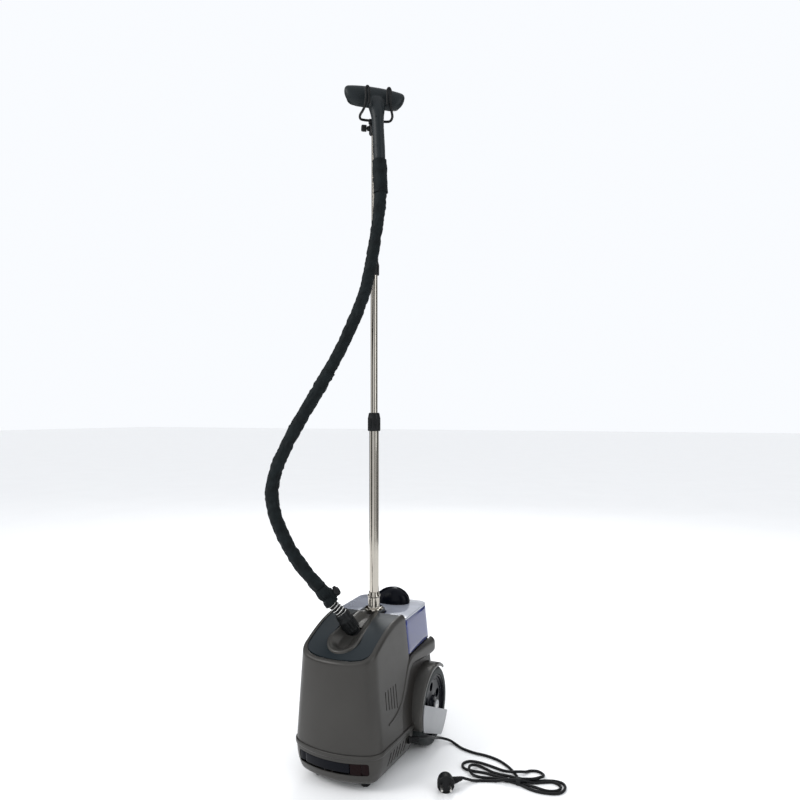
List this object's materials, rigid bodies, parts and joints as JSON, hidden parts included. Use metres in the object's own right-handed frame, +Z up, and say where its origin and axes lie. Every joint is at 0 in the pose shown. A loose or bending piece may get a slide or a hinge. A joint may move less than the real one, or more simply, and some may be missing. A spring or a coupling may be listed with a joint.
{
  "type": "garment steamer",
  "caption": "Upright garment steamer: wheeled base with lift-out water tank, telescopic mast, wire handset holder and fabric-covered steam hose.",
  "frame": {"origin": "on the floor, under the middle of the machine without its hose and cord", "axes": "+Z up; front (skirt, pedal and hose outlet) towards -Y; the mains cord leaves on the +X side"},
  "size_m": [0.6651, 0.378, 1.5851],
  "materials": {
    "shell_grey": "satin metallic-grey moulded plastic",
    "dark_plastic": "dark brown-grey moulded plastic",
    "satin_trim": "light satin silver-grey paint",
    "slate_panel": "dark slate satin plastic",
    "black_plastic": "black moulded plastic, fine grain",
    "gloss_black": "glossy black plastic",
    "red_lens": "smoked dark red window",
    "rubber": "black rubber",
    "pale_guard": "pale grey satin plastic",
    "steel": "plain steel",
    "tyre": "dark grey solid rubber",
    "cast_alloy": "die-cast alloy",
    "silicone": "translucent silicone",
    "board": "circuit board",
    "hose_rings": "silver rings on a black corrugated hose",
    "sleeve_cloth": "black woven polyester",
    "tank_clear": "clear blue plastic",
    "tank_lid": "pale grey glossy plastic",
    "chrome": "polished chrome",
    "black_wire": "black coated wire",
    "handset_slate": "dark slate satin plastic",
    "cord_black": "black PVC"
  },
  "bodies": {
    "base": {"base_tray": "shell_grey", "skirt_band": "shell_grey", "front_shell": "shell_grey", "rear_housing": "dark_plastic", "side_trims": "shell_grey", "vent_screens": "black_plastic", "top_panel": "slate_panel", "outlet_bezel": "satin_trim", "tank_bay": "dark_plastic", "pedal_spring": "steel", "indicator_lens": "red_lens", "front_feet": "rubber", "fenders": "satin_trim", "wheel_guards": "pale_guard", "axle": "steel", "boiler": "cast_alloy", "heating_element": "steel", "water_pipe": "silicone", "steam_pipe": "silicone", "control_board": "board", "outlet_spigot": "black_plastic", "hose_stub": "hose_rings", "sleeve_hem": "sleeve_cloth", "cord_lock": "black_plastic", "sleeve_lower": "sleeve_cloth", "mast_socket": "chrome", "lower_tube": "chrome", "lower_bush": "black_plastic", "cord_gland": "rubber", "power_cord": "cord_black", "cord_bundle": "cord_black", "plug": "cord_black", "plug_pins": "steel"},
    "wheel_left": {"tyre_left": "tyre", "wheel_disc_left": "gloss_black"},
    "wheel_right": {"tyre_right": "tyre", "wheel_disc_right": "gloss_black"},
    "tank": {"tank_body": "tank_clear", "tank_top": "tank_lid", "tank_grip": "gloss_black"},
    "valve_cap": {"valve_cap": "black_plastic", "valve_spring": "steel"},
    "valve_pin": {"valve_pin": "steel"},
    "pedal": {"foot_pedal": "gloss_black"},
    "drain": {"drain_plug": "black_plastic"},
    "lower_lock": {"lower_lock": "black_plastic"},
    "mid": {"mid_tube": "chrome", "upper_bush": "black_plastic", "sleeve_upper": "sleeve_cloth"},
    "upper_lock": {"upper_lock": "black_plastic"},
    "upper": {"upper_tube": "chrome", "holder_collar": "black_plastic", "holder_hooks": "black_wire"},
    "knob": {"clamp_knob": "black_plastic"},
    "handset": {"handle": "handset_slate", "handle_cuff": "sleeve_cloth", "head_shell": "handset_slate", "steam_plate": "steel"},
    "nut": {"connector_nut": "black_plastic"},
    "lock_button": {"lock_button": "black_plastic"}
  },
  "joints": [
    {"name": "wheel_left_spin", "type": "hinge", "parent": "base", "child": "wheel_left", "pos_m": [-0.11, 0.097, 0.092], "axis": [1, 0, 0], "continuous": true},
    {"name": "wheel_right_spin", "type": "hinge", "parent": "base", "child": "wheel_right", "pos_m": [0.11, 0.097, 0.092], "axis": [1, 0, 0], "continuous": true},
    {"name": "tank_lift", "type": "slide", "parent": "base", "child": "tank", "axis": [0, 0, 1], "range_m": [0, 0.11]},
    {"name": "valve_cap_turn", "type": "hinge", "parent": "tank", "child": "valve_cap", "pos_m": [0, 0.127, 0.236], "axis": [0, 0, 1], "range_deg": [0, 90]},
    {"name": "valve_pin_press", "type": "slide", "parent": "valve_cap", "child": "valve_pin", "axis": [0, 0, 1], "range_m": [0, 0.0015], "stiffness_N_per_m": 400, "deforming": ["valve_spring"]},
    {"name": "pedal_press", "type": "slide", "parent": "base", "child": "pedal", "axis": [0, 0, -1], "range_m": [0, 0.004], "stiffness_N_per_m": 3000, "deforming": ["pedal_spring"]},
    {"name": "drain_turn", "type": "hinge", "parent": "base", "child": "drain", "pos_m": [0, 0.128, 0.02], "axis": [0, 0, 1], "continuous": true},
    {"name": "lower_lock_twist", "type": "hinge", "parent": "base", "child": "lower_lock", "pos_m": [0, 0.039, 0.785], "axis": [0, 0, 1], "range_deg": [0, 90]},
    {"name": "mid_slide", "type": "slide", "parent": "base", "child": "mid", "axis": [0, 0, 1], "range_m": [-0.3, 0], "deforming": ["sleeve_lower"]},
    {"name": "upper_lock_twist", "type": "hinge", "parent": "mid", "child": "upper_lock", "pos_m": [0, 0.039, 1.165], "axis": [0, 0, 1], "range_deg": [0, 90]},
    {"name": "upper_slide", "type": "slide", "parent": "mid", "child": "upper", "axis": [0, 0, 1], "range_m": [-0.28, 0], "deforming": ["sleeve_upper"]},
    {"name": "knob_turn", "type": "hinge", "parent": "upper", "child": "knob", "pos_m": [0, 0.039, 1.504], "axis": [-0.8387, -0.5446, 0], "continuous": true},
    {"name": "handset_lift", "type": "slide", "parent": "upper", "child": "handset", "axis": [-0.0366, -0.0238, 0.999], "range_m": [0, 0.055]},
    {"name": "nut_turn", "type": "hinge", "parent": "base", "child": "nut", "pos_m": [0, -0.059, 0.297], "axis": [-0.4515, -0.3046, 0.8387], "continuous": true},
    {"name": "lock_press", "type": "slide", "parent": "base", "child": "lock_button", "axis": [0.4145, 0.2796, -0.866], "range_m": [0, 0.003], "stiffness_N_per_m": 600}
  ]
}
